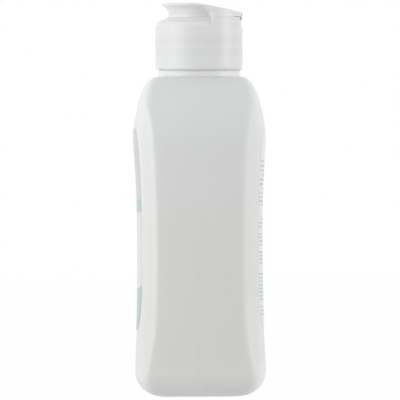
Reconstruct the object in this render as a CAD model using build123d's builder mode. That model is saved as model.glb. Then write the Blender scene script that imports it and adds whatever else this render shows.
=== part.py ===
from build123d import *
import os
from math import cos, pi, radians, sin, sqrt, tan

os.makedirs("parts", exist_ok=True)

# A small wash bottle with a flip-top cap, in millimetres. The origin is the centre of the foot. +Z is up,
# +X runs along the wide faces, the front (label and thumb lip) faces -Y and the hinge is at +Y.

# The blown body, by its heights, half widths and half depths
body_height = 105.1
waist_z = 50.0
shoulder_height = 20.6
foot_round = 8.5
foot_half_width = 29.6
waist_half_width = 29.0
bulge_half_width = 30.0
foot_half_depth = 21.65
waist_half_depth = 20.6
bulge_half_depth = 21.85
waist_power = 2.2
shoulder_power = 1.75
wall = 1.1

# The foot is pushed up inside a narrow rim that it stands on
rim_width = 3.0
push_up_height = 2.0
push_up_corner = 6.0
push_up_taper = 40.0

# The seam that the mould leaves where it pinches the foot shut
pinch_length = 27.0
pinch_width = 0.9
pinch_height = 0.4

# The long faces bow, the narrow sides are nearly flat, and facets join them that fade towards both ends
long_face_radius = 231.0
side_face_radius = 250.0
facet_size = 4.3
facet_least = 1.2
crease_radius = 2.6
facet_foot_z = (2.5, 28.0)
facet_top_drops = (8.5, 22.6)

# The body's outlines stand at these angles round the foot and the shoulder, and evenly up the sides
foot_angles = (0, 30, 60, 90)
shoulder_angles = (0, 30, 55, 75, 90)
side_steps = 6
widest_crease = 0.95

# The neck: a collar set back under the cap, a straight tube and two snap rings. The shoulder's flat top
# stands out round the collar.
collar_setback = 0.82
collar_height = 2.25
shoulder_stand_x = 2.05
shoulder_stand_y = 0.85
collar_edge = 0.6
neck_radius = 11.7
neck_wall = 1.9
neck_height = 17.5
neck_edge = 0.4
ring_stand = 1.0
ring_round = 1.15
ring_heights = (8.25, 12.2)

# Directions about the axis, in degrees from +X
front = -90
back = 90

# The cap: skirt, deck, spout, plug seal and snap rings
ring_gap = 0.37
skirt_wall = 1.3
skirt_edge = 1.6
seat_gap = 0.12
deck_gap = 0.85
deck_thickness = 1.5
snap_round = 0.6
snap_reach = 0.75
snap_gap = 0.1
plug_wall = 0.9
plug_depth = 4.2
plug_gap = 0.05
spout_wall = 1.3
spout_height = 1.7
spout_edge = 0.6
orifice_radius = 3.1

# The cap's front half is bevelled down from the lid, and its skirt is cut back under the thumb lip
bevel_width = 4.17
bevel_angle = 24.0
shoulder_round = 2.5
bevel_end_y = 3.9
relief_height = 0.45
relief_angle = 76.0

# The lid: flat at the front, sloping down to the hinge, with a scoop under the thumb lip
parting_gap = 0.2
lid_rise = 4.55
slope_start_y = -0.2
lid_slope = 0.207
lid_wall = 1.25
band_setback = 0.15
band_height = 0.95
scoop_round = 3.45
scoop_reach = 3.25
scoop_centre_rise = 0.4
lip_setback = 2.17
lip_edge = 0.25
lid_edge = 0.4
scoop_end_foot_y = 4.0
scoop_end_head_y = 0.5
rear_hollow_y = 5.8
pin_gap = 0.15
pin_wall = 0.8
pin_depth = 1.5
pin_tip = 0.3

# The living hinge: a thin film between two lands, in a shallow pocket at the back of the cap
pocket_depth = 0.35
pocket_height = 3.35
pocket_angle = 94.0
hinge_width = 6.0
film_thickness = 0.28
film_height = 1.25
land_height = 0.6
notch_gap = 0.3

# The two labels are thin films on the long faces, their heads a little above the bulge
label_thickness = 0.12
label_foot_z = 21.9
label_head_rise = 3.8
label_half_width = 22.4
label_foot_round = 13.0
label_head_round = 9.0

# What follows from the sizes above
bulge_z = body_height - shoulder_height
facet_top_z = [body_height - drop for drop in facet_top_drops]
label_head_z = bulge_z + label_head_rise
collar_top = body_height + collar_height
neck_top = body_height + neck_height
bore_radius = neck_radius - neck_wall
ring_centre = neck_radius + ring_stand - ring_round
skirt_foot = collar_top + seat_gap
skirt_inner = neck_radius + ring_stand + ring_gap
cap_radius = skirt_inner + skirt_wall
collar_radius = cap_radius - collar_setback
top_half_width = collar_radius + shoulder_stand_x
top_half_depth = collar_radius + shoulder_stand_y
deck_underside = neck_top + deck_gap
deck_z = deck_underside + deck_thickness
bevel_radius = cap_radius - bevel_width
bevel_foot = deck_z - bevel_width * tan(radians(bevel_angle))
snap_centre = skirt_inner - snap_reach + snap_round
snap_drop = sqrt((ring_round + snap_round + snap_gap) ** 2 - (snap_centre - ring_centre) ** 2)
plug_radius = bore_radius - plug_gap
spout_radius = orifice_radius + spout_wall
spout_top = deck_z + spout_height
pocket_radius = cap_radius - pocket_depth
lid_foot = deck_z + parting_gap
lid_top_z = deck_z + lid_rise
lip_radius = cap_radius - lip_setback
band_radius = bevel_radius - band_setback
band_top = lid_foot + band_height
scoop_centre_radius = band_radius + scoop_reach
scoop_z = lid_foot + scoop_centre_rise
scoop_in = scoop_centre_radius - sqrt(scoop_round**2 - (band_top - scoop_z) ** 2)
lip_foot = scoop_z + sqrt(scoop_round**2 - (scoop_centre_radius - lip_radius) ** 2)
hinge_z = deck_z + parting_gap / 2
hinge_outer = pocket_radius + film_thickness
film_foot = hinge_z - film_height / 2
film_head = hinge_z + film_height / 2
notch_width = hinge_width + 2 * notch_gap


def share(value, start, end):
    """How far value is from start to end, from 0 to 1."""
    return min(max((value - start) / (end - start), 0.0), 1.0)


def foot_drop(z, inset):
    """How far the rounded foot has drawn the walls in at height z."""
    radius = foot_round - inset
    below = max(radius - (z - inset), 0.0)
    return radius - sqrt(radius**2 - below**2)


def shoulder_drop(z, inset):
    """The share of the shoulder's whole draw that is reached at height z."""
    t = share(z, bulge_z, body_height - inset)
    return 1 - sqrt(1 - t**shoulder_power)


def half_size(z, inset, foot, waist, bulge, top):
    """Half the body's width or depth at height z, with its walls moved in by inset."""
    end = foot if z < waist_z else bulge
    t = share(z, waist_z, foot_round) if z < waist_z else share(z, waist_z, bulge_z)
    side = waist + (end - waist) * t**waist_power
    return side - inset - foot_drop(z, inset) - (bulge - top) * shoulder_drop(z, inset)


def facet_at(z, inset):
    """How much the corner facet takes off each face at height z."""
    t = share(z, *facet_foot_z) if z < waist_z else share(z, *facet_top_z)
    full = facet_least + (facet_size - facet_least) * sin(t * pi / 2)
    return full - (2 - sqrt(2)) * inset


def levels(inset):
    """The heights of the body's outlines: round the foot, up the sides, over the shoulder."""
    foot = [inset + (foot_round - inset) * (1 - cos(radians(a))) for a in foot_angles]
    sides = [foot_round + (bulge_z - foot_round) * n / side_steps for n in range(1, side_steps)]
    rise = body_height - inset - bulge_z
    shoulder = [bulge_z + rise * sin(radians(a)) ** (2 / shoulder_power) for a in shoulder_angles]
    return foot + sides + shoulder


def body_outline(z, inset):
    """One level's face: bowed long faces, nearly flat sides and rounded corner facets."""
    width = half_size(z, inset, foot_half_width, waist_half_width, bulge_half_width, top_half_width)
    depth = half_size(z, inset, foot_half_depth, waist_half_depth, bulge_half_depth, top_half_depth)
    facet = facet_at(z, inset)
    side_y = depth - width**2 / (2 * long_face_radius) - facet
    side_x = width - side_y**2 / (2 * side_face_radius)
    face_x = side_x - facet
    face_y = side_y + facet
    widest_round = facet / sqrt(2) / tan(pi / 8)
    with BuildSketch(Plane.XY.offset(z)) as level:
        with BuildLine():
            ThreePointArc((-face_x, face_y), (0, depth), (face_x, face_y))
            Line((face_x, face_y), (side_x, side_y))
            ThreePointArc((side_x, side_y), (width, 0), (side_x, -side_y))
            Line((side_x, -side_y), (face_x, -face_y))
            ThreePointArc((face_x, -face_y), (0, -depth), (-face_x, -face_y))
            Line((-face_x, -face_y), (-side_x, -side_y))
            ThreePointArc((-side_x, -side_y), (-width, 0), (-side_x, side_y))
            Line((-side_x, side_y), (-face_x, face_y))
        make_face()
        fillet(level.vertices(), min(crease_radius, widest_crease * widest_round))
    return level.sketch


def body_form(inset):
    """The body as a closed solid, its walls moved in by inset."""
    with BuildPart() as form:
        loft([body_outline(z, inset) for z in levels(inset)])
    return form.part


def push_up(grow):
    """The hollow pushed up into the foot, or with grow the bump that it makes inside."""
    half_width = foot_half_width - foot_round - rim_width + grow
    half_depth = foot_half_depth - foot_round - rim_width + grow
    with BuildPart() as form:
        with BuildSketch():
            RectangleRounded(2 * half_width, 2 * half_depth, push_up_corner + grow)
        extrude(amount=push_up_height + grow, taper=push_up_taper)
    return form.part


def radial(angle):
    """The upright plane through the axis whose x runs outwards at angle and whose y is up."""
    out = Vector(cos(radians(angle)), sin(radians(angle)), 0)
    return Plane(origin=(0, 0, 0), x_dir=out, z_dir=out.cross(Vector(0, 0, 1)))


def ring(radius_in, radius_out, foot, head, middle_angle=0, arc=360):
    """A ring about the axis, or an arc of one whose middle is at middle_angle."""
    with BuildPart() as form:
        with BuildSketch(radial(middle_angle - arc / 2)):
            with Locations(((radius_in + radius_out) / 2, (foot + head) / 2)):
                Rectangle(radius_out - radius_in, head - foot)
        revolve(axis=Axis.Z, revolution_arc=arc)
    return form.part


def bead(centre_radius, z, radius):
    """A round bead about the axis."""
    with BuildPart() as form:
        with BuildSketch(Plane.XZ):
            with Locations((centre_radius, z)):
                Circle(radius)
        revolve(axis=Axis.Z)
    return form.part


def side_view(corners):
    """A solid across the whole cap with these (y, z) corners in side view."""
    with BuildPart() as form:
        with BuildSketch(Plane.YZ):
            with BuildLine():
                Polyline(*corners, close=True)
            make_face()
        extrude(amount=2 * cap_radius, both=True)
    return form.part


def under_lid_top(drop):
    """All that lies under the lid's flat and sloping top, lowered by drop."""
    reach = 2 * cap_radius
    foot = lid_foot - reach
    flat = lid_top_z - drop
    low = flat - lid_slope * (reach - slope_start_y)
    return side_view([(-reach, foot), (-reach, flat), (slope_start_y, flat), (reach, low), (reach, foot)])


def lid_hollow():
    """The hollow under the lid: narrow under the scoop, full at the back, with a roof of even thickness."""
    with BuildPart() as form:
        with BuildSketch(Plane.XY.offset(lid_foot)):
            Circle(skirt_inner)
            with Locations((0, rear_hollow_y + cap_radius)):
                Rectangle(2 * cap_radius, 2 * cap_radius, mode=Mode.INTERSECT)
            Circle(band_radius - lid_wall)
        extrude(amount=lid_top_z - lid_foot)
        add(under_lid_top(lid_wall), mode=Mode.INTERSECT)
    return form.part


def sealing_pin():
    """The hollow pin that closes the outlet, from inside the lid's roof down into the spout."""
    radius = orifice_radius - pin_gap
    foot = spout_top - pin_depth
    with BuildPart() as form:
        with BuildSketch(Plane.XY.offset(foot)):
            Circle(radius)
            Circle(radius - pin_wall, mode=Mode.SUBTRACT)
        extrude(amount=lid_top_z - foot)
        chamfer(form.edges().group_by(Axis.Z)[0].sort_by(SortBy.LENGTH)[-1], pin_tip)
        add(under_lid_top(lid_wall / 2), mode=Mode.INTERSECT)
    return form.part


def back_of_cap(foot, head, foot_y, head_y):
    """The cap's full disc behind a front face that leans from foot_y at foot to head_y at head."""
    reach = 2 * cap_radius
    with BuildPart() as form:
        with BuildSketch(Plane.XY.offset(foot)):
            Circle(cap_radius)
        extrude(amount=head - foot)
        add(side_view([(foot_y, foot), (head_y, head), (reach, head), (reach, foot)]), mode=Mode.INTERSECT)
    return form.part


def hinge_block(inner_y, foot, head, width=hinge_width):
    """A block across the hinge from inner_y out to the film's outer face."""
    with BuildPart() as form:
        with BuildSketch(Plane.XY.offset(foot)):
            with Locations((0, (inner_y + hinge_outer) / 2)):
                Rectangle(width, hinge_outer - inner_y)
        extrude(amount=head - foot)
    return form.part


outer_form = body_form(0)
label_form = body_form(-label_thickness)

# The space inside the bottle, with the bump that the push-up makes in its floor
with BuildPart() as cavity:
    add(body_form(wall))
    add(push_up(wall), mode=Mode.SUBTRACT)

# The bottle: a hollow shell with its neck, collar and snap rings
with BuildPart() as bottle:
    add(outer_form)
    with BuildSketch(Plane.XZ) as neck:
        with BuildLine():
            Polyline(
                (0, body_height - wall / 2),
                (collar_radius, body_height - wall / 2),
                (collar_radius, collar_top),
                (neck_radius, collar_top),
                (neck_radius, neck_top),
                (0, neck_top),
                close=True,
            )
        make_face()
        fillet(neck.vertices().group_by(Axis.X)[-1].sort_by(Axis.Y)[-1], collar_edge)
        fillet(neck.vertices().group_by(Axis.Y)[-1].sort_by(Axis.X)[-1], neck_edge)
    revolve(axis=Axis.Z)
    for height in ring_heights:
        add(bead(ring_centre, body_height + height, ring_round))
    add(cavity.part, mode=Mode.SUBTRACT)
    add(push_up(0), mode=Mode.SUBTRACT)
    with BuildSketch(Plane.XY.offset(push_up_height - pinch_height)):
        SlotOverall(pinch_length, pinch_width)
    extrude(amount=pinch_height + wall / 2)
    with BuildSketch(Plane.XY.offset(body_height - 2 * wall)):
        Circle(bore_radius)
    extrude(amount=neck_height + 2 * wall, mode=Mode.SUBTRACT)
bottle.part.label = "bottle"
export_step(bottle.part, "parts/bottle.step")

# The cap's base: bevelled round the front, full at the back, hollow under its deck
with BuildPart() as cap_base:
    with BuildSketch(Plane.XZ) as profile:
        with BuildLine():
            Polyline(
                (0, skirt_foot),
                (cap_radius, skirt_foot),
                (cap_radius, bevel_foot),
                (bevel_radius, deck_z),
                (0, deck_z),
                close=True,
            )
        make_face()
        fillet(profile.vertices().group_by(Axis.X)[-1].sort_by(Axis.Y)[-1], shoulder_round)
        fillet(profile.vertices().group_by(Axis.X)[-1].sort_by(Axis.Y)[0], skirt_edge)
    revolve(axis=Axis.Z)
    add(back_of_cap(bevel_foot - shoulder_round, deck_z, bevel_end_y, bevel_end_y))
    with BuildSketch(Plane.XY.offset(skirt_foot)):
        Circle(skirt_inner)
    extrude(amount=deck_underside - skirt_foot, mode=Mode.SUBTRACT)
    for height in ring_heights:
        add(bead(snap_centre, body_height + height - snap_drop, snap_round))
    add(ring(plug_radius - plug_wall, plug_radius, deck_underside - plug_depth, deck_underside))
    with BuildSketch(Plane.XY.offset(deck_z)):
        Circle(spout_radius)
    extrude(amount=spout_height)
    fillet(cap_base.edges().group_by(Axis.Z)[-1], spout_edge)
    with BuildSketch(Plane.XY.offset(deck_underside)):
        Circle(orifice_radius)
    extrude(amount=spout_top - deck_underside, mode=Mode.SUBTRACT)
    relief = ring(neck_radius, 2 * cap_radius, skirt_foot, skirt_foot + relief_height, front, relief_angle)
    add(relief, mode=Mode.SUBTRACT)
    pocket = ring(pocket_radius, 2 * cap_radius, deck_z - pocket_height, deck_z, back, pocket_angle)
    add(pocket, mode=Mode.SUBTRACT)
    add(hinge_block(skirt_inner, film_foot - land_height, film_foot))
cap_base.part.label = "cap_base"
export_step(cap_base.part, "parts/cap_base.step")

# The lid: a turned front with its finger scoop, a full back, a sloping top and a sealing pin
with BuildPart() as cap_lid:
    with BuildSketch(Plane.XZ) as lid_profile:
        with BuildLine():
            Polyline((scoop_in, band_top), (band_radius, band_top), (band_radius, lid_foot), (0, lid_foot))
            Polyline((0, lid_foot), (0, lid_top_z), (lip_radius, lid_top_z), (lip_radius, lip_foot))
            RadiusArc((lip_radius, lip_foot), (scoop_in, band_top), -scoop_round)
        make_face()
        fillet(lid_profile.vertices().group_by(Axis.Y)[-1].sort_by(Axis.X)[-1], lip_edge)
    revolve(axis=Axis.Z)
    add(back_of_cap(lid_foot, lid_top_z, scoop_end_foot_y, scoop_end_head_y))
    add(under_lid_top(0), mode=Mode.INTERSECT)
    flats = cap_lid.faces().filter_by(GeomType.PLANE)
    slope = flats.sort_by(lambda face: face.center().Y + face.normal_at().Z)[-1]
    fillet(slope.edges().sort_by(SortBy.LENGTH)[-1], lid_edge)
    add(lid_hollow(), mode=Mode.SUBTRACT)
    add(sealing_pin())
    add(hinge_block(pocket_radius, lid_foot, film_head, notch_width), mode=Mode.SUBTRACT)
    add(hinge_block(skirt_inner, film_head, film_head + land_height))
cap_lid.part.label = "cap_lid"
export_step(cap_lid.part, "parts/cap_lid.step")

# The living hinge's film, from the cap's land up to the lid's
with BuildPart() as hinge_film:
    add(hinge_block(pocket_radius, film_foot, film_head))
hinge_film.part.label = "hinge_film"
export_step(hinge_film.part, "parts/hinge_film.step")


def label_film(facing):
    """A label's film on the front (facing 1) or back (facing -1), wrapped on the body's long face."""
    with BuildPart() as form:
        add(label_form)
        add(outer_form, mode=Mode.SUBTRACT)
        with BuildSketch(Plane.XZ) as outline:
            with Locations((0, (label_foot_z + label_head_z) / 2)):
                Rectangle(2 * label_half_width, label_head_z - label_foot_z)
            corners = outline.vertices().sort_by(Axis.Y)
            fillet(corners[:2], label_foot_round)
            fillet(corners[2:], label_head_round)
        extrude(amount=facing * 2 * bulge_half_depth, mode=Mode.INTERSECT)
    return form.part


# The front label
with BuildPart() as front_label:
    add(label_film(1))
front_label.part.label = "front_label"
export_step(front_label.part, "parts/front_label.step")

# The back label
with BuildPart() as back_label:
    add(label_film(-1))
back_label.part.label = "back_label"
export_step(back_label.part, "parts/back_label.step")
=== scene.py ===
import bmesh
import bpy
import numpy as np
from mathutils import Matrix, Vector


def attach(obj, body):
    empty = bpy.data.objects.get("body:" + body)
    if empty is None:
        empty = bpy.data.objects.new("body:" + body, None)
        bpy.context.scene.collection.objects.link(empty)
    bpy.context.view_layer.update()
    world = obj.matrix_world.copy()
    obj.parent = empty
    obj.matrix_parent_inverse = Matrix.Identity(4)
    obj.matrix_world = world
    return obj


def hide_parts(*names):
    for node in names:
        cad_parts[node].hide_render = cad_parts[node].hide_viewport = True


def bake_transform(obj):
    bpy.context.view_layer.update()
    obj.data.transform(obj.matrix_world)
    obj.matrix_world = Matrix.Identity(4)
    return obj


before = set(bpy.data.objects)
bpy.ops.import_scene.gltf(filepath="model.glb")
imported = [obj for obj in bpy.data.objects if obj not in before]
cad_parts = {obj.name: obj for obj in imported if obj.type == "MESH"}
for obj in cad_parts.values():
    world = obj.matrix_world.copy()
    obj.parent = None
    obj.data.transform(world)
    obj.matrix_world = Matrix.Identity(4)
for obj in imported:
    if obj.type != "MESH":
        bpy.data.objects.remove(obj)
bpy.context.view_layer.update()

# The bottle is one blow-moulded shell of white polyethylene about 1 mm thick, with bowed wide faces, nearly
# flat narrow sides, and corner facets that fade out at the shoulder and foot. It stands on a rim round a
# pushed-up base, and its neck carries a collar and two rings. Sizes are in millimetres.
millimetre = 0.001
merge_reach = 1e-7
sharp_angle = np.radians(40)
body_height = 105.1
waist_z = 50.0
bulge_z = 84.5
foot_round = 8.5
half_widths = {"foot": 29.6, "waist": 29.0, "bulge": 30.0, "top": 15.6}
half_depths = {"foot": 21.65, "waist": 20.6, "bulge": 21.85, "top": 14.4}
waist_power = 2.2
waist_ease = 0.12
shoulder_power = 1.75
wall = 1.1
long_face_radius = 231.0
side_face_radius = 250.0
facet_size = 4.3
facet_least = 1.2
facet_foot_z = (2.5, 28.0)
facet_top_z = (96.6, 82.5)
crease_reach = 1.15
crease_share = 0.45
crease_steps = 7
parting_steps = (0.0, 0.1, 0.18, 0.3)
parting_half = 0.2
parting_height = 0.07
push_up = 2.0
push_up_half = (16.0, 8.0)
push_up_facet = 3.4
push_up_slope = (0.2, 2.1)
push_up_sharpening = 0.6
collar_radius = 13.55
collar_top = 107.35
neck_radius = 11.7
neck_top = 122.6
bore = 9.8
bead_centre = 11.55
bead_round = 1.15
bead_heights = (113.35, 117.3)


def eased_limit(t, soft):
    """Values of t held below 1, with the corner at 1 rounded over soft either side of it."""
    near = np.clip(0.5 + 0.5 * (1 - t) / soft, 0, 1)
    return 1 + (t - 1) * near - soft * near * (1 - near)


def body_half(z, inset, sizes):
    """Half the body's width or depth at heights z: the waist's power curve out to the foot and the bulge,
    less a quarter circle at the foot, an eased shoulder curve at the top, and the inset of the wall."""
    to_foot = eased_limit(np.clip((waist_z - z) / (waist_z - foot_round), 0, None), waist_ease)
    to_bulge = eased_limit(np.clip((z - waist_z) / (bulge_z - waist_z), 0, None), waist_ease)
    side = sizes["waist"] + (sizes["foot"] - sizes["waist"]) * to_foot**waist_power
    side = side + (sizes["bulge"] - sizes["waist"]) * to_bulge**waist_power
    radius = foot_round - inset
    below = np.clip(radius - (z - inset), 0, radius)
    rise = np.clip((z - bulge_z) / (body_height - inset - bulge_z), 0, 1)
    over = 1 - np.sqrt(1 - rise**shoulder_power)
    return side - inset - (radius - np.sqrt(radius**2 - below**2)) - (sizes["bulge"] - sizes["top"]) * over


def body_facet(z, inset):
    """How much the corner facet takes off each face at heights z: a sine that fades towards both ends."""
    from_foot = np.clip((z - facet_foot_z[0]) / (facet_foot_z[1] - facet_foot_z[0]), 0, 1)
    from_top = np.clip((z - facet_top_z[0]) / (facet_top_z[1] - facet_top_z[0]), 0, 1)
    share = np.minimum(from_foot, from_top)
    return facet_least + (facet_size - facet_least) * np.sin(share * np.pi / 2) - (2 - np.sqrt(2)) * inset


def crease(start, corner, end, steps):
    """A crease between two faces: the quadratic curve from start to end that heads for the corner."""
    t = np.linspace(0, 1, steps + 2)[1:-1][None, :, None]
    return (1 - t) ** 2 * start[:, None] + 2 * t * (1 - t) * corner[:, None] + t**2 * end[:, None]


def outline(width, depth, facet):
    """Closed outlines, one row for each width, depth and facet: a quarter of nearly flat side, crease,
    facet, crease and bowed wide face, mirrored into the other three quarters."""
    width, depth, facet = np.broadcast_arrays(*np.atleast_1d(width, depth, facet))
    bow = width**2 / (2 * long_face_radius)
    side_y = depth - bow - facet
    side_x = width - side_y**2 / (2 * side_face_radius)
    face_x = side_x - facet
    face_y = side_y + facet
    reach = np.minimum(crease_reach, crease_share * np.sqrt(2) * facet)
    along = np.array(parting_steps)[None, :] * np.ones_like(width)[:, None]
    past_seam = np.linspace(0, 1, 12)[None, 1:]
    rest = parting_steps[-1] + (side_y - reach - parting_steps[-1])[:, None] * past_seam
    y = np.concatenate([along, rest], axis=1)
    side = np.stack([width[:, None] - y**2 / (2 * side_face_radius), y], axis=-1)
    x = (face_x - reach)[:, None] * np.cos(np.linspace(0, np.pi / 2, 22))[None, :]
    face = np.stack([x, depth[:, None] - bow[:, None] * (x / face_x[:, None]) ** 2], axis=-1)
    low = np.stack([side_x, side_y], axis=-1)
    high = np.stack([face_x, face_y], axis=-1)
    step = (reach / np.sqrt(2))[:, None] * np.array([-1.0, 1.0])
    across = np.linspace(0, 1, 6)[None, :, None]
    flat = (low + step)[:, None] * (1 - across) + (high - step)[:, None] * across
    low_crease = crease(side[:, -1], low, low + step, crease_steps)
    high_crease = crease(high - step, high, face[:, 0], crease_steps)
    quarter = np.concatenate([side, low_crease, flat, high_crease, face], axis=1)
    back = quarter[:, ::-1]
    quarters = [quarter[:, :-1], (back * [-1, 1])[:, :-1], (-quarter)[:, :-1], (back * [1, -1])[:, :-1]]
    return np.concatenate(quarters, axis=1)


def lifted(rows, heights):
    """Flat outlines given their heights, as rows of points."""
    heights = np.broadcast_to(np.atleast_1d(heights)[:, None, None], rows.shape[:2] + (1,))
    return np.concatenate([rows, heights], axis=-1)


def walls(inset):
    """The body's rows of points from the foot's rim to the flat top, with its walls moved in by inset."""
    radius = foot_round - inset
    foot = inset + radius * (1 - np.cos(np.linspace(0, np.pi / 2, 15)))
    sides = np.linspace(foot_round, bulge_z, 56)[1:-1]
    rise = body_height - inset - bulge_z
    shoulder = bulge_z + rise * np.sin(np.linspace(0, np.pi / 2, 34)) ** (2 / shoulder_power)
    z = np.concatenate([foot, sides, shoulder])
    rows = outline(body_half(z, inset, half_widths), body_half(z, inset, half_depths), body_facet(z, inset))
    return lifted(rows, z)


def base(height, grow):
    """The pushed-up middle of the foot, from its centre out to the rim: flat, then an eased slope down."""
    half_width, half_depth = np.array(push_up_half) + grow
    facet = push_up_facet + grow / 2
    inner = np.array([0.12, 0.3, 0.5, 0.7, 0.86, 0.96])
    floor = lifted(outline(half_width * inner, half_depth * inner, facet * inner), height)
    t = np.linspace(0, 1, 12)
    out = push_up_slope[0] + push_up_slope[1] * t
    slope = outline(half_width + out, half_depth + out, facet - push_up_sharpening * t)
    return np.concatenate([floor, lifted(slope, grow + (height - grow) * (1 - t * t * (3 - 2 * t)))])


def turned(profile, angles):
    """Rows of points for a profile of (radius, height) turned about the bottle's axis."""
    radius, height = np.array(profile).T
    flat = radius[:, None, None] * np.stack([np.cos(angles), np.sin(angles)], axis=-1)[None]
    return lifted(flat, height)


def rounded(corners, steps=5):
    """A profile through (radius, height, round) corners: each is cut back by its round along both edges,
    and a quadratic curve joins the two cuts."""
    points = np.array([corner[:2] for corner in corners], float)
    path = []
    for n, here in enumerate(points):
        cut = corners[n][2]
        if cut == 0 or n in (0, len(corners) - 1):
            path.append(here[None])
            continue
        beside = (points[n - 1], points[n + 1])
        ends = [here + cut * (other - here) / np.linalg.norm(other - here) for other in beside]
        t = np.linspace(0, 1, steps)[:, None]
        path.append((1 - t) ** 2 * ends[0] + 2 * t * (1 - t) * here + t**2 * ends[1])
    return np.concatenate(path)


def skin(name, rows, start_pole=None, end_pole=None, close_rows=False):
    """A mesh of quads between neighbouring rows of points, closed round each row, with a fan of triangles
    to a pole at either end, or the last row joined to the first. Points that coincide are merged."""
    count, around = rows.shape[:2]
    vertices = rows.reshape(-1, 3)
    index = np.arange(count * around).reshape(count, around)
    if close_rows:
        index = np.concatenate([index, index[:1]])
    ahead = np.roll(index, -1, axis=1)
    quads = np.stack([index[:-1], ahead[:-1], ahead[1:], index[1:]], axis=-1).reshape(-1, 4)
    faces = quads.tolist()
    for pole, row, turn in ((start_pole, index[0], 1), (end_pole, index[-1], -1)):
        if pole is not None:
            vertices = np.concatenate([vertices, [pole]])
            middle = np.full(around, len(vertices) - 1)
            faces += np.stack([middle, np.roll(row, -1), row], axis=-1)[:, ::turn].tolist()
    mesh = bpy.data.meshes.new(name)
    mesh.from_pydata((vertices * millimetre).tolist(), [], faces)
    form = bmesh.new()
    form.from_mesh(mesh)
    bmesh.ops.remove_doubles(form, verts=form.verts, dist=merge_reach)
    form.to_mesh(mesh)
    form.free()
    mesh.shade_smooth()
    mesh.set_sharp_from_angle(angle=sharp_angle)
    piece = bpy.data.objects.new(name, mesh)
    bpy.context.scene.collection.objects.link(piece)
    return piece


def ridged(rows):
    """Rows with the mould's parting line raised: points on the two narrow sides' middle columns move out
    along the surface's normal by a triangle across the line. None goes below the foot."""
    along = np.gradient(rows, axis=0)
    round_about = np.roll(rows, -1, axis=1) - np.roll(rows, 1, axis=1)
    normal = np.cross(round_about, along)
    normal /= np.maximum(np.linalg.norm(normal, axis=-1, keepdims=True), 1e-9)
    rise = np.clip(1 - np.array(parting_steps) / parting_half, 0, 1)
    share = np.zeros(rows.shape[1])
    for start in (0, rows.shape[1] // 2):
        for n, value in enumerate(rise):
            share[(start + n) % rows.shape[1]] = value
            share[(start - n) % rows.shape[1]] = value
    rows = rows + normal * (parting_height * share)[None, :, None]
    rows[..., 2] = np.maximum(rows[..., 2], 0)
    return rows


outside = ridged(walls(0))
inside = walls(wall)
around = np.arctan2(outside[-1, :, 1], outside[-1, :, 0])
bead = np.radians(np.linspace(-82.5, 82.5, 15))
beads = [np.stack([bead_centre + bead_round * np.cos(bead), height + bead_round * np.sin(bead)], axis=-1)
         for height in bead_heights]
collar = rounded([(14.0, body_height, 0), (collar_radius, body_height, 0.35),
                  (collar_radius, collar_top, 0.1), (neck_radius, collar_top, 0.3),
                  (neck_radius, beads[0][0, 1], 0)])
bore_foot = body_height - wall
mouth = rounded([(neck_radius, beads[1][-1, 1] + 0.5, 0), (neck_radius, neck_top, 0.4), (bore, neck_top, 0.3),
                 (bore, bore_foot + 0.6, 0), (bore, bore_foot, 0.3), (bore + 0.8, bore_foot, 0)])
neck = turned(np.concatenate([collar, *beads, mouth]), around)
underside = base(push_up, 0.0)
floor_inside = base(push_up + wall, wall)[::-1]
bottle_rows = np.concatenate([underside, outside, neck, inside[::-1], floor_inside])
bottle = skin("bottle_shell", bottle_rows, start_pole=(0, 0, push_up), end_pole=(0, 0, push_up + wall))
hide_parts("bottle")
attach(bottle, "bottle")

# Where the mould pinched the foot shut, a low round-backed seam crosses the pushed-up base. It is part of the
# same polyethylene shell.
pinch_length = 27.0
pinch_width = 0.9
pinch_height = 0.4
pinch_root = 0.4
turn = np.linspace(0, 2 * np.pi, 48, endpoint=False)
back_width = np.array([1.0, 0.98, 0.9, 0.72, 0.42])
back_height = pinch_height * np.array([-pinch_root, 0.2, 0.6, 0.88, 1.0])
straight = np.where(np.cos(turn) >= 0, 1, -1) * (pinch_length - pinch_width) / 2
pinch_x = straight[None] + pinch_width / 2 * back_width[:, None] * np.cos(turn)[None]
pinch_y = pinch_width / 2 * back_width[:, None] * np.sin(turn)[None]
pinch_rows = lifted(np.stack([pinch_x, pinch_y], axis=-1), push_up - back_height)[:, ::-1]
pinch_top = push_up + pinch_root * pinch_height
pinch = skin("pinch_seam", pinch_rows, (0, 0, pinch_top), (0, 0, push_up - pinch_height))
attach(pinch, "bottle")


class Value:
    """A number that varies over a surface. Arithmetic on it adds Math nodes."""

    def __init__(self, nodes, socket):
        self.nodes = nodes
        self.socket = socket

    def math(self, operation, *terms):
        return self.nodes.node("ShaderNodeMath", {"operation": operation}, dict(enumerate(terms)))

    def __add__(self, other):
        return self.math("ADD", self, other)

    def __sub__(self, other):
        return self.math("SUBTRACT", self, other)

    def __rsub__(self, other):
        return self.math("SUBTRACT", other, self)

    def __mul__(self, other):
        return self.math("MULTIPLY", self, other)

    def __truediv__(self, other):
        return self.math("DIVIDE", self, other)

    def __abs__(self):
        return self.math("ABSOLUTE", self)

    __radd__ = __add__
    __rmul__ = __mul__


class Nodes:
    """The nodes of a material or of the surround."""

    def __init__(self, tree):
        self.tree = tree

    def feed(self, socket, value):
        """Links a value or sets a number or a colour."""
        if isinstance(value, Value):
            self.tree.links.new(value.socket, socket)
        else:
            socket.default_value = value

    def node(self, kind, settings, values, output=0):
        """Adds a node: its settings first, then its sockets' values or links."""
        node = self.tree.nodes.new(kind)
        for key, value in settings.items():
            setattr(node, key, value)
        for key, value in values.items():
            self.feed(node.inputs[key], value)
        return node if output is None else Value(self, node.outputs[output])


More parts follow.
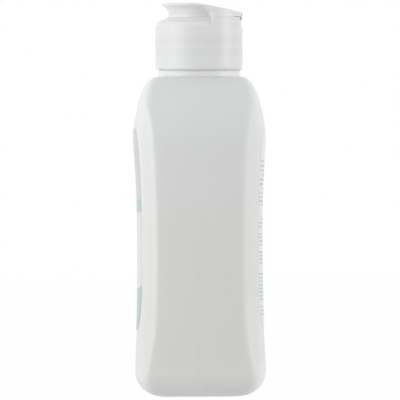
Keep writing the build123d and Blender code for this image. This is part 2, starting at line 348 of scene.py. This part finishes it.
class Finish(Nodes):
    """A material for one of the bottle's surfaces."""

    def __init__(self, name, roughness, subsurface=0.0):
        self.material = bpy.data.materials.new(name)
        self.material.use_nodes = True
        super().__init__(self.material.node_tree)
        self.shader = self.tree.nodes["Principled BSDF"]
        self.shader.inputs["Roughness"].default_value = roughness
        self.shader.inputs["IOR"].default_value = 1.5
        self.shader.inputs["Subsurface Weight"].default_value = subsurface
        self.shader.inputs["Subsurface Radius"].default_value = (1.0, 1.0, 1.0)
        self.shader.inputs["Subsurface Scale"].default_value = 0.002
        self.place = self.node("ShaderNodeTexCoord", {}, {}, "Object")
        split = self.node("ShaderNodeSeparateXYZ", {}, {0: self.place}, None)
        self.x, self.y, self.z = (Value(self, socket) * (1 / millimetre) for socket in split.outputs)

    def step(self, value, low, high):
        """0 below low, 1 above high, and eased between them."""
        return self.node("ShaderNodeMapRange", {"interpolation_type": "SMOOTHSTEP"},
                         {"Value": value, "From Min": low, "From Max": high})

    def noise(self, scale, detail):
        """Cloudy noise of about 0.5, with scale in cycles to the metre."""
        return self.node("ShaderNodeTexNoise", {}, {"Vector": self.place, "Scale": scale, "Detail": detail})

    def mix(self, share, first, second):
        """One colour into another by a share."""
        node = self.node("ShaderNodeMix", {"data_type": "RGBA"}, {}, None)
        for key, value in ((0, share), (6, first), (7, second)):
            self.feed(node.inputs[key], value)
        return Value(self, node.outputs[2])

    def finish(self, colour, bump, depth, roughness=None):
        """Feeds the shader: a colour, a relief of this depth in metres, and a roughness."""
        self.feed(self.shader.inputs["Base Color"], colour)
        if roughness is not None:
            self.feed(self.shader.inputs["Roughness"], roughness)
        relief = self.node("ShaderNodeBump", {}, {"Height": bump, "Distance": depth, "Strength": 1.0})
        self.feed(self.shader.inputs["Normal"], relief)
        return self.material


satin = Finish("satin_polyethylene", roughness=0.42, subsurface=1.0)
cloud = satin.noise(scale=38.0, detail=2.0)
grain = satin.noise(scale=1400.0, detail=2.0)
cool = (0.755, 0.771, 0.765, 1.0)
warm = (0.742, 0.744, 0.728, 1.0)
collar_painted_light = (0.9, 0.91, 0.9, 1.0)
foot_painted_light = (0.8, 0.805, 0.79, 1.0)
warmth = satin.step(satin.z + 14 * cloud, 100.0, 50.0)
above_body = satin.step(satin.z, 104.8, 105.4)
near_foot = satin.step(satin.z, 12.0, 4.0)
tone = satin.mix(warmth, cool, warm)
# Painted light: above the body the collar and neck are lightened, standing in for light that comes through the
# cap's translucent skirt into the groove under it.
tone = satin.mix(0.8 * above_body, tone, collar_painted_light)
# Painted light: the foot is lightened, standing in for light bounced from the floor on to its rounded edge.
tone = satin.mix(near_foot, tone, foot_painted_light)
polyethylene = satin.finish(tone, grain, 0.00003, 0.38 + 0.1 * cloud)
bottle.data.materials.append(polyethylene)
pinch.data.materials.append(polyethylene)

# The closure is one moulding of natural, slightly cloudy polypropylene: a base that pushes on to the neck, a
# lid with a thumb lip, and a living hinge between them. The base is bevelled round its front up to a small
# wall, and its back holds the hinge's pocket and land. Its skirt is cut away at the foot of the front.
cap_radius = 14.37
skirt_inner = 13.07
skirt_foot = 107.355
skirt_round = 1.0
relief_ceiling = 107.92
relief_angle = np.radians(-52)
deck = 124.95
deck_underside = 123.45
bevel_radius = 10.2
bevel_slope = np.tan(np.radians(24))
shoulder_round = 2.5
shoulder_centre = (11.87, 121.47)
shoulder_start = 123.754
cap_wall_y = 4.1
pocket_angle = np.radians(43)
pocket_radius = 14.02
pocket_foot = 121.6
film_foot = 124.425
film_head = 125.675
land_height = 0.6
notch_half = 3.3
hinge_half = 3.0
hinge_outer = 14.3
edge_round = 0.08
base_soft = (1.0, 1.2)
step_turns = (0.22, 0.36)
deck_turns = (0.42, 0.5)
ring_centre = 12.92
ring_round = 0.6
ring_heights = (116.06, 112.11)
plug_inner = 8.85
plug_outer = 9.75
plug_foot = 119.25
spout_radius = 4.4
spout_top = 126.65
outlet_radius = 3.1
outlet_joint = (126.2, 126.4)
relief_steps = 12
front_steps = 20
corner_steps = 5
wall_steps = 4
side_steps = 10
hinge_steps = 7
rear_column = relief_steps + front_steps + 2 * corner_steps + wall_steps + side_steps
notch_column = rear_column + side_steps
hinge_column = notch_column + 2
last_column = hinge_column + hinge_steps


def stretch(start, end, count):
    """Even steps from start to end, for a number or a column of them, as rows."""
    start, end = np.broadcast_arrays(np.atleast_1d(start), np.atleast_1d(end))
    return start[:, None] + (end - start)[:, None] * np.linspace(0, 1, count)[None]


def mirrored(half):
    """Rows of points on the right, from front to back, carried on round the left from back to front."""
    return np.concatenate([half, (half * [-1, 1])[:, ::-1][:, 1:-1]], axis=1)


def polar(radius, angle):
    """Points at a radius and an angle from the axis, where the front is -90 degrees."""
    return np.stack([radius * np.cos(angle), radius * np.sin(angle)], axis=-1)


def round_row(radius, turn_in, turn_out, rear_turn=pocket_angle):
    """Circles of these radii, with as many points as in cut_row, and the points of its corners and wall
    between the angles turn_in and turn_out."""
    notch_turn = np.arccos(notch_half / cap_radius)
    hinge_turn = np.arccos(hinge_half / cap_radius)
    groups = [stretch(-np.pi / 2, relief_angle, relief_steps), stretch(relief_angle, turn_in, front_steps),
              stretch(turn_in, turn_out, 2 * corner_steps + wall_steps + 2)[:, 1:-1],
              stretch(turn_out, rear_turn, side_steps), stretch(rear_turn, notch_turn, side_steps),
              stretch(notch_turn, hinge_turn, 2), stretch(hinge_turn, np.pi / 2, hinge_steps)]
    radius = np.atleast_1d(radius)[:, None]
    angle = np.concatenate([group + 0 * radius for group in groups], axis=1)
    return mirrored(polar(radius, angle))


def cut_row(front, wall_y, back, soft, rear_turn=pocket_angle):
    """Outlines of a disc of radius front before a wall across it at wall_y, and of radius back behind it.
    Quadratic curves soften the inner and the outer corner. The hinge's part is spaced by x."""
    front, wall_y, back = np.broadcast_arrays(*np.atleast_1d(front, wall_y, back))
    inner = np.stack([np.sqrt(front**2 - wall_y**2), wall_y], axis=-1)
    outer = np.stack([np.sqrt(back**2 - wall_y**2), wall_y], axis=-1)
    most = crease_share * (outer[:, 0] - inner[:, 0])
    cut_in = np.minimum(soft[0], most)
    cut_out = np.minimum(soft[1], most)
    turn_in = np.arcsin(wall_y / front) - cut_in / front
    turn_out = np.arcsin(wall_y / back) + cut_out / back
    wall_start = inner + cut_in[:, None] * [1, 0]
    wall_end = outer - cut_out[:, None] * [1, 0]
    arc_front = [polar(front[:, None], stretch(-np.pi / 2, relief_angle, relief_steps) + 0 * front[:, None]),
                 polar(front[:, None], stretch(relief_angle, turn_in, front_steps))]
    shares = np.linspace(0, 1, wall_steps)[None, :, None]
    wall_line = wall_start[:, None] + (wall_end - wall_start)[:, None] * shares
    arc_back = [polar(back[:, None], stretch(turn_out, rear_turn, side_steps)),
                polar(back[:, None], stretch(rear_turn, np.arccos(notch_half / back), side_steps))]
    x = np.concatenate([[notch_half, hinge_half], np.linspace(hinge_half, 0, hinge_steps)])
    x = x[None] + 0 * back[:, None]
    middle = np.stack([x, np.sqrt(back[:, None] ** 2 - x**2)], axis=-1)
    inner_corner = crease(arc_front[1][:, -1], inner, wall_start, corner_steps)
    outer_corner = crease(wall_end, outer, arc_back[0][:, 0], corner_steps)
    half = np.concatenate([*arc_front, inner_corner, wall_line, outer_corner, *arc_back, middle], axis=1)
    return mirrored(half)


def columns(start, end):
    """True for the columns from start to end of the right half, and for the same ones on the left."""
    half = np.zeros(last_column, bool)
    half[start:end] = True
    return np.concatenate([half, half[::-1][1:-1]])


def base_front(z):
    """The bevelled front's radius at heights z: the cylinder, its round shoulder, and the cone to the deck."""
    over = np.clip(z - shoulder_centre[1], 0, shoulder_round)
    return np.where(z > shoulder_start, bevel_radius + (deck - z) / bevel_slope,
                    shoulder_centre[0] + np.sqrt(shoulder_round**2 - over**2))


def between(first, last, shares):
    """Rows between two rows of points."""
    shares = np.array(shares)[:, None, None]
    return first[None] * (1 - shares) + last[None] * shares


def inner_ring(height):
    """The half-round ring inside the skirt that holds the cap on the neck, from above to below."""
    sweep = np.radians(np.linspace(104.5, -104.5, 13))
    return [(ring_centre - ring_round * np.cos(s), height + ring_round * np.sin(s), 0) for s in sweep]


in_relief = columns(0, relief_steps)
in_pocket = columns(rear_column, last_column)
in_notch = columns(notch_column, last_column)
on_land = columns(hinge_column, last_column)

# The base's rows go from the outlet down, under the deck, round the plug seal, down inside the skirt with its
# two rings, and back up outside to the deck and the spout.
under = rounded([(outlet_radius, outlet_joint[0], 0), (outlet_radius, deck_underside, 0.15),
                 (plug_inner, deck_underside, 0.2), (plug_inner, plug_foot, 0.15),
                 (plug_outer, plug_foot, 0.4), (plug_outer, deck_underside, 0.2),
                 (skirt_inner, deck_underside, 0.3),
                 *inner_ring(ring_heights[0]), *inner_ring(ring_heights[1]), (skirt_inner, skirt_foot, 0)])
under_rows = lifted(round_row(under[:, 0], *deck_turns), under[:, 1])

foot_sweep = np.linspace(0, np.pi / 2, 10)
skirt_z = np.linspace(108.9, 120.8, 9)
skirt_r = np.concatenate([cap_radius - skirt_round * (1 - np.sin(foot_sweep)), np.full(9, cap_radius)])
skirt_z = np.concatenate([skirt_foot + skirt_round * (1 - np.cos(foot_sweep)), skirt_z])
turns = [np.concatenate([np.full(10, low), np.linspace(low, high, 9)])
         for low, high in zip(deck_turns, step_turns)]
skirt_rows = lifted(round_row(skirt_r, *turns), skirt_z)
skirt_rows[..., 2] = np.where(in_relief, np.maximum(skirt_rows[..., 2], relief_ceiling), skirt_rows[..., 2])

land_foot = film_foot - land_height
whole_levels = [shoulder_centre[1], pocket_foot]
pocket_levels = [pocket_foot, 122.1, 122.6, 123.05, 123.45, shoulder_start, land_foot]
land_levels = [land_foot, 124.1, film_foot]
base_levels = np.array(whole_levels + pocket_levels + land_levels + [film_foot, 124.6, deck - edge_round])
level = np.arange(len(base_levels))[:, None]
land_start = len(whole_levels) + len(pocket_levels)
pocketed = level >= len(whole_levels)
landed = (level >= land_start) & (level < land_start + len(land_levels))
whole = cut_row(base_front(base_levels), cap_wall_y, cap_radius, base_soft)
recessed = cut_row(base_front(base_levels), cap_wall_y, pocket_radius, base_soft)
upper = np.where((pocketed & in_pocket)[..., None], recessed, whole)
upper[..., 1] = np.where(landed & on_land, hinge_outer, upper[..., 1])

rim_sweep = np.radians([30, 60, 90])
tuck = edge_round * (1 - np.cos(rim_sweep))
rim_z = deck - edge_round * (1 - np.sin(rim_sweep))
rim_whole = cut_row(base_front(rim_z), cap_wall_y + tuck, cap_radius - tuck, base_soft)
rim_recessed = cut_row(base_front(rim_z), cap_wall_y + tuck, pocket_radius - tuck, base_soft)
rim = np.where(in_pocket[None, :, None], rim_recessed, rim_whole)
deck_rows = lifted(between(rim[-1], round_row(9.4, *deck_turns)[0], [0.15, 0.4, 0.7, 1.0]), deck)
spout = rounded([(8.5, deck, 0), (spout_radius, deck, 0.25), (spout_radius, spout_top, 0.6),
                 (outlet_radius, spout_top, 0.15), (outlet_radius, outlet_joint[1], 0)], 7)
spout_rows = lifted(round_row(spout[:, 0], *deck_turns), spout[:, 1])
base_rows = np.concatenate([under_rows, skirt_rows, lifted(upper, base_levels), lifted(rim, rim_z), deck_rows,
                            spout_rows])
closure_base = skin("closure_base", base_rows, close_rows=True)
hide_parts("cap_base")
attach(closure_base, "bottle")

natural = Finish("natural_polypropylene", roughness=0.36, subsurface=0.25)
natural.shader.inputs["Subsurface Scale"].default_value = 0.0012
natural.shader.inputs["Specular IOR Level"].default_value = 0.4
veil = natural.noise(scale=90.0, detail=2.0)
milky = (0.728, 0.74, 0.73, 1.0)
clouded = (0.758, 0.766, 0.756, 1.0)
ring_shade = (0.66, 0.67, 0.66, 1.0)
painted_light_white = (0.92, 0.925, 0.92, 1.0)


def band(middle, half, soft):
    """1 within half of a height in millimetres, easing to 0 over soft."""
    return 1 - natural.step(abs(natural.z - middle), half, half + soft)


# Painted shade: darker bands at the neck's bead heights, where the rings inside take light that comes through
# the skirt.
painted_ring_shade = sum(band(height, 0.8, 1.2) for height in bead_heights[::-1])
# Painted light: the front of the base's bevel, in the shadow of the lid's thumb lip, is lightened towards a
# near white, standing in for light through the translucent closure.
bevel_painted_light = natural.step(natural.z, 121.0, 124.5) * (1 - natural.step(natural.z, 124.9, 125.2))
bevel_painted_light = bevel_painted_light * (1 - natural.step(natural.y, 2.6, 4.4))
closure_tone = natural.mix(0.6 * veil, milky, clouded)
closure_tone = natural.mix(0.3 * painted_ring_shade, closure_tone, ring_shade)
closure_tone = natural.mix(0.6 * bevel_painted_light, closure_tone, painted_light_white)
# Painted light: a band along the parting line between lid and base is lightened to fill the shade of the
# groove.
closure_tone = natural.mix(0.3 * band(125.05, 0.2, 0.3), closure_tone, painted_light_white)
closure = natural.finish(closure_tone, natural.noise(scale=1800.0, detail=2.0), 0.00002, 0.34 + 0.08 * veil)
closure_base.data.materials.append(closure)

# The lid is of the same moulding. It is turned at its front, where a finger scoop runs up to the thumb lip,
# and full at its back. Its top is flat, then slopes down to the hinge. A hollow pin plugs the outlet.
lid_foot = 125.15
lid_top = 129.5
slope_start = -0.2
slope = 0.207
slope_bend = 0.5
roof = 1.25
lid_band = 10.05
lip_radius = 12.2
scoop_centre = (13.3, 125.55)
scoop_round = 3.45
scoop_foot_y = 4.3
scoop_lean = 3.2
lid_soft = (2.0, 2.0)
lid_turns = (0.7, 0.8, np.radians(62))
top_turns = (0.1, 0.18, lid_turns[2])
hollow_wall_y = 5.8
hollow_front = 8.8
hollow_soft = (0.8, 0.5)
pin_inner = 2.15
pin_outer = 2.95
pin_root = 127.3
rest_gap = 0.01
lift_start = 11.0
lift_run = 2.2
top_round = 0.3
top_round_share = 0.45
land_head = film_head + land_height


def lid_height(y):
    """The lid's top at y: flat, then a slope, with a soft bend between them."""
    past = y - slope_start
    return lid_top - slope * (past + np.sqrt(past**2 + slope_bend**2)) / 2


def lid_wall_y(z):
    """Where the scoop ends at heights z: a curve that leans forward more and more towards the top."""
    return scoop_foot_y - scoop_lean * np.clip((z - lid_foot) / (lid_top - lid_foot), 0, 1) ** 1.5


def rim_height(y):
    """The lid's rim at y: it rests on the deck, and lifts to clear it near the hinge."""
    share = np.clip((y - lift_start) / lift_run, 0, 1)
    return deck + rest_gap + (lid_foot - deck - rest_gap) * share**2 * (3 - 2 * share)


def tucked(flat, inset):
    """Points moved in towards the axis by inset."""
    return flat * (1 - inset / np.linalg.norm(flat, axis=-1, keepdims=True))


def lid_rows(flat, height):
    """Rows of points under the lid's top: height is a function of y."""
    return np.concatenate([flat, height(flat[..., 1])[..., None]], axis=-1)


def roof_height(y):
    """The underside of the lid's roof at y."""
    return lid_height(y) - roof


def chamfer_height(y):
    """The lid's wall above its rim at y, where the rim's small chamfer ends."""
    return rim_height(y) + edge_round


def edge_size(y):
    """How much the lid's top edge is rounded at y: less where the back is low."""
    return np.minimum(top_round, top_round_share * (lid_height(y) - land_head))


pin_top = round_row(np.array([0.7, 1.4, pin_inner]), *lid_turns)
pin = rounded([(pin_inner, pin_root, 0), (pin_inner, lid_foot, 0.1), (pin_outer, lid_foot, 0.3),
               (pin_outer, pin_root, 0)])
pin_rows = lifted(round_row(pin[:, 0], *lid_turns), pin[:, 1])
hollow = cut_row(hollow_front, hollow_wall_y, skirt_inner, hollow_soft, lid_turns[2])[0]
roof_discs = round_row(np.array([pin_outer, 3.3, 4.4, 5.5, 6.6, 7.6, 8.3]), *lid_turns)
roof_flat = np.concatenate([roof_discs, between(roof_discs[-1], hollow, [0.3, 0.6, 0.9, 1.0])])

scoop_sweep = np.radians([9.2, 12.13, 12.13, 20, 28, 36, 44, 52, 60, 66, 71.4])
scoop_z = scoop_centre[1] + scoop_round * np.sin(scoop_sweep)
scoop_r = scoop_centre[0] - scoop_round * np.cos(scoop_sweep)
lid_levels = np.array([lid_foot, film_head, film_head, 126.0, 126.07, 126.1, *scoop_z])
lid_fronts = np.array([lid_band] * 4 + [10.02, 9.95, *scoop_r])
level = np.arange(len(lid_levels))[:, None]
notched = level < 2
landed = (level >= 2) & (level < 8)
side = cut_row(lid_fronts, lid_wall_y(lid_levels), cap_radius, lid_soft, lid_turns[2])
side_y = np.where(notched & in_notch, np.minimum(side[..., 1], pocket_radius), side[..., 1])
side_y = np.where(landed & on_land, np.maximum(side_y, hinge_outer), side_y)
fixed = np.minimum(lid_levels, land_head)[:, None]
share_up = (lid_levels[:, None] - fixed) / (lid_top - top_round - land_head)
side_z = fixed + share_up * (lid_height(side_y) - edge_size(side_y) - land_head)
side_z[0] = chamfer_height(side_y[0])
side_rows = np.stack([side[..., 0], side_y, side_z], axis=-1)
rim_flat = np.stack([tucked(hollow, -edge_round), tucked(side_rows[0, :, :2], edge_round)])

crown = cut_row(lip_radius, lid_wall_y(lid_top), cap_radius, lid_soft, lid_turns[2])
crown_sweep = np.radians([0, 22.5, 45, 67.5, 90])[:, None]
edge = edge_size(crown[..., 1])
edge_flat = tucked(crown, (edge * (1 - np.cos(crown_sweep)))[..., None])
edge_z = lid_height(edge_flat[..., 1]) - edge * (1 - np.sin(crown_sweep))
edge_rows = np.concatenate([edge_flat, edge_z[..., None]], axis=-1)
top_discs = round_row(np.linspace(11.4, 0.9, 14), *top_turns)
top_flat = np.concatenate([between(edge_flat[-1], top_discs[0], [0.25, 0.6]), top_discs])
lid_inside = [lid_rows(pin_top, roof_height), pin_rows, lid_rows(roof_flat, roof_height)]
lid_rim = [lid_rows(hollow[None], chamfer_height), lid_rows(rim_flat, rim_height)]
lid_surface = np.concatenate([*lid_inside, *lid_rim, side_rows, edge_rows, lid_rows(top_flat, lid_height)])
closure_lid = skin("closure_lid", lid_surface, (0, 0, roof_height(0.0)), (0, 0, lid_height(0.0)))
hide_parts("cap_lid")
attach(closure_lid, "lid")
closure_lid.data.materials.append(closure)

# The living hinge's film runs between the base's land and the lid's. It is moulded in one with them, 0.28 mm
# thick and a little waisted where it flexes.
film_thickness = 0.28
film_waist = 0.1
film_waist_half = 0.25
film_levels = 25
film_z = np.linspace(film_foot, film_head, film_levels)
from_waist = (film_z - (film_foot + film_head) / 2) / film_waist_half
thickness = film_thickness - film_waist * np.exp(-(from_waist**2))
film_corners = np.array([(hinge_half, 1.0), (-hinge_half, 1.0), (-hinge_half, 0.0), (hinge_half, 0.0)])
film_x = np.broadcast_to(film_corners[:, 0], (film_levels, 4))
film_y = pocket_radius + thickness[:, None] * film_corners[:, 1]
film_rows = lifted(np.stack([film_x, film_y], axis=-1), film_z)
film_middle = pocket_radius + film_thickness / 2
hinge = skin("hinge_strip", film_rows, (0, film_middle, film_foot), (0, film_middle, film_head))
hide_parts("hinge_film")
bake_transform(hinge)
hinge.data.materials.append(closure)

# Each label is a printed film 0.12 mm thick, wrapped on a wide face inside its creases, with larger rounds at
# the foot than at the head. Its print is plain fields of grey, white and sea green, with blocks of fine bars
# where the small print would be.
label_foot = 21.9
label_head = 88.3
label_half = 22.4
label_foot_round = 13.0
label_head_round = 9.0
label_thickness = 0.12


def wide_face(x, z):
    """How far a wide face stands out from the middle plane at (x, z): its depth less the bow's parabola."""
    width = body_half(z, 0, half_widths)
    depth = body_half(z, 0, half_depths)
    facet = body_facet(z, 0)
    bow_out = width**2 / (2 * long_face_radius)
    side_y = depth - bow_out - facet
    face_x = width - side_y**2 / (2 * side_face_radius) - facet
    return depth - bow_out * (x / face_x) ** 2


def label_outline():
    """The label's edge as (x, z) points: straight runs and quarter circles, from the middle of its foot up
    one side, and mirrored down the other."""
    sweep = np.linspace(0, np.pi / 2, 14)
    straight_foot = label_foot + label_foot_round
    straight_head = label_head - label_head_round
    low_x = np.linspace(0, label_half - label_foot_round, 8)[:-1]
    low_run = np.stack([low_x, np.full(7, label_foot)], axis=-1)
    low_round = np.stack([label_half - label_foot_round * (1 - np.sin(sweep)),
                          label_foot + label_foot_round * (1 - np.cos(sweep))], axis=-1)
    side_z = np.linspace(straight_foot, straight_head, 22)[1:-1]
    side_run = np.stack([np.full(20, label_half), side_z], axis=-1)
    high_round = np.stack([label_half - label_head_round * (1 - np.cos(sweep)),
                           label_head - label_head_round * (1 - np.sin(sweep))], axis=-1)
    high_x = np.linspace(label_half - label_head_round, 0, 10)[1:]
    high_run = np.stack([high_x, np.full(9, label_head)], axis=-1)
    right = np.concatenate([low_run, low_round, side_run, high_round, high_run])
    return np.concatenate([right, (right[::-1] * [-1, 1])[1:-1]])


def label(name, facing):
    """A label: its outline scaled in towards its middle, laid on the wide face outside and inside."""
    edge = label_outline()
    middle = np.array([0.0, (label_foot + label_head) / 2])
    inward = np.concatenate([np.linspace(0.02, 0.97, 34), [0.99, 0.998, 1.0]])[:, None, None]
    flat = middle + (edge - middle)[None] * inward
    edge_drop = np.array([0.0] * 35 + [0.01, 0.04])[:, None]
    out = wide_face(flat[..., 0], flat[..., 1])
    outer = np.stack([flat[..., 0], facing * (out + label_thickness - edge_drop), flat[..., 1]], axis=-1)
    inner = np.stack([flat[..., 0], facing * out, flat[..., 1]], axis=-1)
    rows = np.concatenate([outer, inner[::-1]])
    middle_out = wide_face(middle[0], middle[1])
    poles = [(0, facing * (middle_out + label_thickness), middle[1]), (0, facing * middle_out, middle[1])]
    if facing > 0:
        rows = rows[:, ::-1]
    piece = skin(name, rows, *poles)
    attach(piece, "bottle")
    return piece


front_label = label("front_print", -1)
back_label = label("back_print", 1)
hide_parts("front_label")
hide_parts("back_label")

white = (0.68, 0.685, 0.68, 1.0)
grey = (0.55, 0.555, 0.55, 1.0)
sea_green = (0.38, 0.53, 0.48, 1.0)
front_ink = (0.4, 0.43, 0.42, 1.0)
front_fine_ink = (0.5, 0.52, 0.51, 1.0)
back_white = (0.73, 0.735, 0.73, 1.0)
back_tint = (0.7, 0.735, 0.72, 1.0)
back_ink = (0.42, 0.43, 0.42, 1.0)
back_green = (0.3, 0.5, 0.44, 1.0)
disc_height = 76.5
back_blocks = ((66.0, 78.0, 1.5), (62.4, 66.0, 1.2), (54.6, 59.4, 1.2), (49.2, 54.0, 1.2), (43.2, 48.0, 1.2))


def bars(film, foot, head, pitch, reach, share):
    """Rows of short bars between two heights, out to reach on both sides, that leave gaps like spaces."""
    row = film.node("ShaderNodeMath", {"operation": "FLOOR"}, {0: film.z / pitch})
    within = film.z / pitch - row
    spot = film.node("ShaderNodeCombineXYZ", {}, {0: film.x * 0.55, 1: row * 7.3, 2: 0.0})
    words = film.node("ShaderNodeTexNoise", {}, {"Vector": spot, "Scale": 1.0, "Detail": 0.0})
    stroke = film.step(within, 0.2, 0.3) * (1 - film.step(within, 0.7, 0.8))
    inked = stroke * film.step(words, share, share + 0.04)
    inside = film.step(film.z, foot, foot + 0.05) * (1 - film.step(film.z, head - 0.05, head))
    return inked * inside * (1 - film.step(abs(film.x), reach, reach + 0.1))


front = Finish("front_film", roughness=0.3)
front.shader.inputs["Specular IOR Level"].default_value = 0.1
curve = 35.3 + 1.4 / label_half**2 * (front.x * front.x)
from_disc = front.z - disc_height
disc = front.node("ShaderNodeMath", {"operation": "SQRT"}, {0: front.x * front.x + from_disc * from_disc})
tint = front.mix(front.step(front.z, 64.6, 64.8), sea_green, grey)
tint = front.mix(1 - front.step(front.z, 60.6, 60.8), tint, white)
tint = front.mix(1 - front.step(front.z - curve, -0.1, 0.1), tint, sea_green)
tint = front.mix(1 - front.step(disc, 7.0, 7.1), tint, white)
tint = front.mix(1 - front.step(disc, 5.9, 6.0), tint, sea_green)
tint = front.mix(bars(front, 51.0, 56.4, 1.8, 8.0, 0.4), tint, front_ink)
tint = front.mix(bars(front, 42.0, 46.8, 1.2, 7.0, 0.42), tint, front_fine_ink)
front_label.data.materials.append(front.finish(tint, front.noise(scale=500.0, detail=1.0), 0.00001))

rear = Finish("back_film", roughness=0.3)
rear.shader.inputs["Specular IOR Level"].default_value = 0.15
tint = rear.mix(1 - rear.step(rear.z, 31.0, 31.1), back_white, back_tint)
for foot, head, pitch in back_blocks:
    tint = rear.mix(bars(rear, foot, head, pitch, 20.6, 0.4), tint, back_ink)
tint = rear.mix(bars(rear, 31.2, 40.8, 1.2, 20.8, 0.36), tint, back_green)
tint = rear.mix(bars(rear, 26.4, 30.0, 1.2, 17.0, 0.4), tint, back_ink)
back_label.data.materials.append(rear.finish(tint, rear.noise(scale=500.0, detail=1.0), 0.00001))

# A pale floor, a white surround and soft lamps at both sides, seen square on from the narrow side through a
# long lens. The floor and the surround look white in the picture and in reflections only.
floor_size = 6.0
floor_glow = 0.6
floor_seen_glow = 0.39
surround_light = 0.66
camera_distance = 4.0
frame_width = 0.1321
floor_mesh = bpy.data.meshes.new("floor")
floor_corners = [(-floor_size, -floor_size, 0), (floor_size, -floor_size, 0), (floor_size, floor_size, 0),
                 (-floor_size, floor_size, 0)]
floor_mesh.from_pydata(floor_corners, [], [(0, 1, 2, 3)])
floor = bpy.data.objects.new("floor", floor_mesh)
bpy.context.scene.collection.objects.link(floor)


def seen(nodes):
    """1 or more where the camera looks, directly or by a reflection or through glass, and 0 for light."""
    rays = nodes.node("ShaderNodeLightPath", {}, {}, None).outputs
    kinds = ("Is Camera Ray", "Is Glossy Ray", "Is Transmission Ray")
    return sum(Value(nodes, rays[kind]) for kind in kinds)


ground = Finish("pale_floor", roughness=0.9)
ground.shader.inputs["Base Color"].default_value = (0.25, 0.25, 0.25, 1.0)
ground.shader.inputs["Specular IOR Level"].default_value = 0.0
glow = ground.node("ShaderNodeEmission", {}, {"Color": (1.0, 1.0, 1.0, 1.0), "Strength": 1.0})
shadowed = Value(ground, ground.shader.outputs[0])
glow_share = floor_glow + floor_seen_glow * seen(ground)
surface = ground.node("ShaderNodeMixShader", {}, {0: glow_share, 1: shadowed, 2: glow})
ground.feed(ground.tree.nodes["Material Output"].inputs["Surface"], surface)
floor_mesh.materials.append(ground.material)

world = bpy.data.worlds.new("surround")
world.use_nodes = True
bpy.context.scene.world = world
surround = Nodes(world.node_tree)
strength = surround.node("ShaderNodeMapRange", {},
                         {"Value": seen(surround), "To Min": surround_light, "To Max": 1.0})
sky = world.node_tree.nodes["Background"]
surround.feed(sky.inputs["Color"], (1.0, 1.0, 1.0, 1.0))
surround.feed(sky.inputs["Strength"], strength)


def lamp(name, place, size, power):
    """A soft rectangular lamp that faces the bottle's middle, in metres and watts."""
    light = bpy.data.lights.new(name, "AREA")
    light.shape = "RECTANGLE"
    light.size = size[0]
    light.size_y = size[1]
    light.energy = power
    stand = bpy.data.objects.new(name, light)
    bpy.context.scene.collection.objects.link(stand)
    stand.location = place
    stand.rotation_euler = (Vector((0, 0, 0.065)) - Vector(place)).to_track_quat("-Z", "Y").to_euler()


lamp("left_lamp", (0.15, -0.27, 0.11), (0.26, 0.31), 0.53)
lamp("right_lamp", (0.12, 0.57, 0.14), (0.19, 0.33), 1.12)

scene = bpy.context.scene
scene.view_settings.view_transform = "Standard"
eye = bpy.data.cameras.new("eye")
eye.sensor_width = 36.0
eye.lens = eye.sensor_width * camera_distance / frame_width
eye.clip_end = 30.0
camera = bpy.data.objects.new("eye", eye)
scene.collection.objects.link(camera)
camera.location = (camera_distance, 0.0001, 0.06461)
camera.rotation_euler = (np.pi / 2, np.radians(0.28), np.pi / 2)
scene.camera = camera
